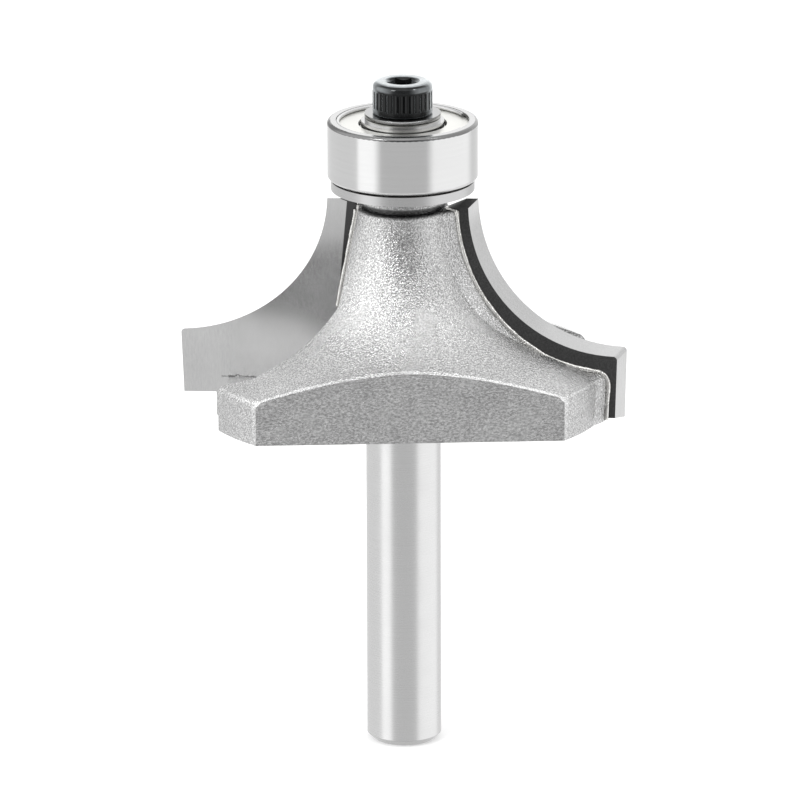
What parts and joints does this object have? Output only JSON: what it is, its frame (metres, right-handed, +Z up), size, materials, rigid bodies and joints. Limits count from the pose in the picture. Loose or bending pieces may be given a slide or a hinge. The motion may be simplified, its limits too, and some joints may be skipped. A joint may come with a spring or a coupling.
{
  "type": "router bit",
  "caption": "Round-over router bit with brazed carbide tips on a two-wing body, a plain shank and a ball bearing guide held by a socket head cap screw.",
  "frame": {"origin": "centre of the shank's end face", "axes": "+Z up the axis of rotation from the shank to the guide bearing, +X towards the first wing, +Y the way the first wing cuts"},
  "size_m": [0.038, 0.0258, 0.058],
  "materials": {
    "body_steel": "blasted steel with a fine sparkle, ground shank",
    "carbide": "ground tungsten carbide, satin",
    "braze": "silver braze, bright",
    "washer_steel": "turned steel, satin",
    "bearing_steel": "ground and polished bearing steel",
    "shield_steel": "pressed sheet steel",
    "spring_wire": "drawn spring wire",
    "screw_steel": "black oxide steel"
  },
  "bodies": {
    "cutter": {"cutter_body": "body_steel", "carbide_tip_a": "carbide", "carbide_tip_b": "carbide", "braze_a": "braze", "braze_b": "braze", "bearing_washer": "washer_steel", "screw_washer": "washer_steel", "bearing_inner_ring": "bearing_steel", "cap_screw": "screw_steel"},
    "guide": {"bearing_outer_ring": "bearing_steel", "bearing_shield_lower": "shield_steel", "bearing_shield_upper": "shield_steel", "bearing_clip_lower": "spring_wire", "bearing_clip_upper": "spring_wire"},
    "cage": {"bearing_cage_lower": "shield_steel", "bearing_cage_upper": "shield_steel"},
    "ball_1": {"bearing_ball_1": "bearing_steel"},
    "ball_2": {"bearing_ball_2": "bearing_steel"},
    "ball_3": {"bearing_ball_3": "bearing_steel"},
    "ball_4": {"bearing_ball_4": "bearing_steel"},
    "ball_5": {"bearing_ball_5": "bearing_steel"},
    "ball_6": {"bearing_ball_6": "bearing_steel"},
    "ball_7": {"bearing_ball_7": "bearing_steel"}
  },
  "joints": [
    {"name": "guide_spin", "type": "hinge", "parent": "cutter", "child": "guide", "pos_m": [0, 0, 0.05214], "axis": [0, 0, 1], "continuous": true},
    {"name": "cage_spin", "type": "hinge", "parent": "cutter", "child": "cage", "pos_m": [0, 0, 0.05214], "axis": [0, 0, 1], "continuous": true},
    {"name": "ball_spin_1", "type": "hinge", "parent": "cage", "child": "ball_1", "pos_m": [0.00437, 0, 0.05214], "axis": [0, 0, 1], "continuous": true},
    {"name": "ball_spin_2", "type": "hinge", "parent": "cage", "child": "ball_2", "pos_m": [0.00272, 0.00341, 0.05214], "axis": [0, 0, 1], "continuous": true},
    {"name": "ball_spin_3", "type": "hinge", "parent": "cage", "child": "ball_3", "pos_m": [-0.00097, 0.00426, 0.05214], "axis": [0, 0, 1], "continuous": true},
    {"name": "ball_spin_4", "type": "hinge", "parent": "cage", "child": "ball_4", "pos_m": [-0.00393, 0.00189, 0.05214], "axis": [0, 0, 1], "continuous": true},
    {"name": "ball_spin_5", "type": "hinge", "parent": "cage", "child": "ball_5", "pos_m": [-0.00393, -0.00189, 0.05214], "axis": [0, 0, 1], "continuous": true},
    {"name": "ball_spin_6", "type": "hinge", "parent": "cage", "child": "ball_6", "pos_m": [-0.00097, -0.00426, 0.05214], "axis": [0, 0, 1], "continuous": true},
    {"name": "ball_spin_7", "type": "hinge", "parent": "cage", "child": "ball_7", "pos_m": [0.00272, -0.00341, 0.05214], "axis": [0, 0, 1], "continuous": true}
  ],
  "couplings": [
    {"joint": "cage_spin", "follows": "guide_spin", "ratio": 0.63749},
    {"joint": "ball_spin_1", "follows": "guide_spin", "ratio": 1.7002},
    {"joint": "ball_spin_2", "follows": "guide_spin", "ratio": 1.7002},
    {"joint": "ball_spin_3", "follows": "guide_spin", "ratio": 1.7002},
    {"joint": "ball_spin_4", "follows": "guide_spin", "ratio": 1.7002},
    {"joint": "ball_spin_5", "follows": "guide_spin", "ratio": 1.7002},
    {"joint": "ball_spin_6", "follows": "guide_spin", "ratio": 1.7002},
    {"joint": "ball_spin_7", "follows": "guide_spin", "ratio": 1.7002}
  ]
}
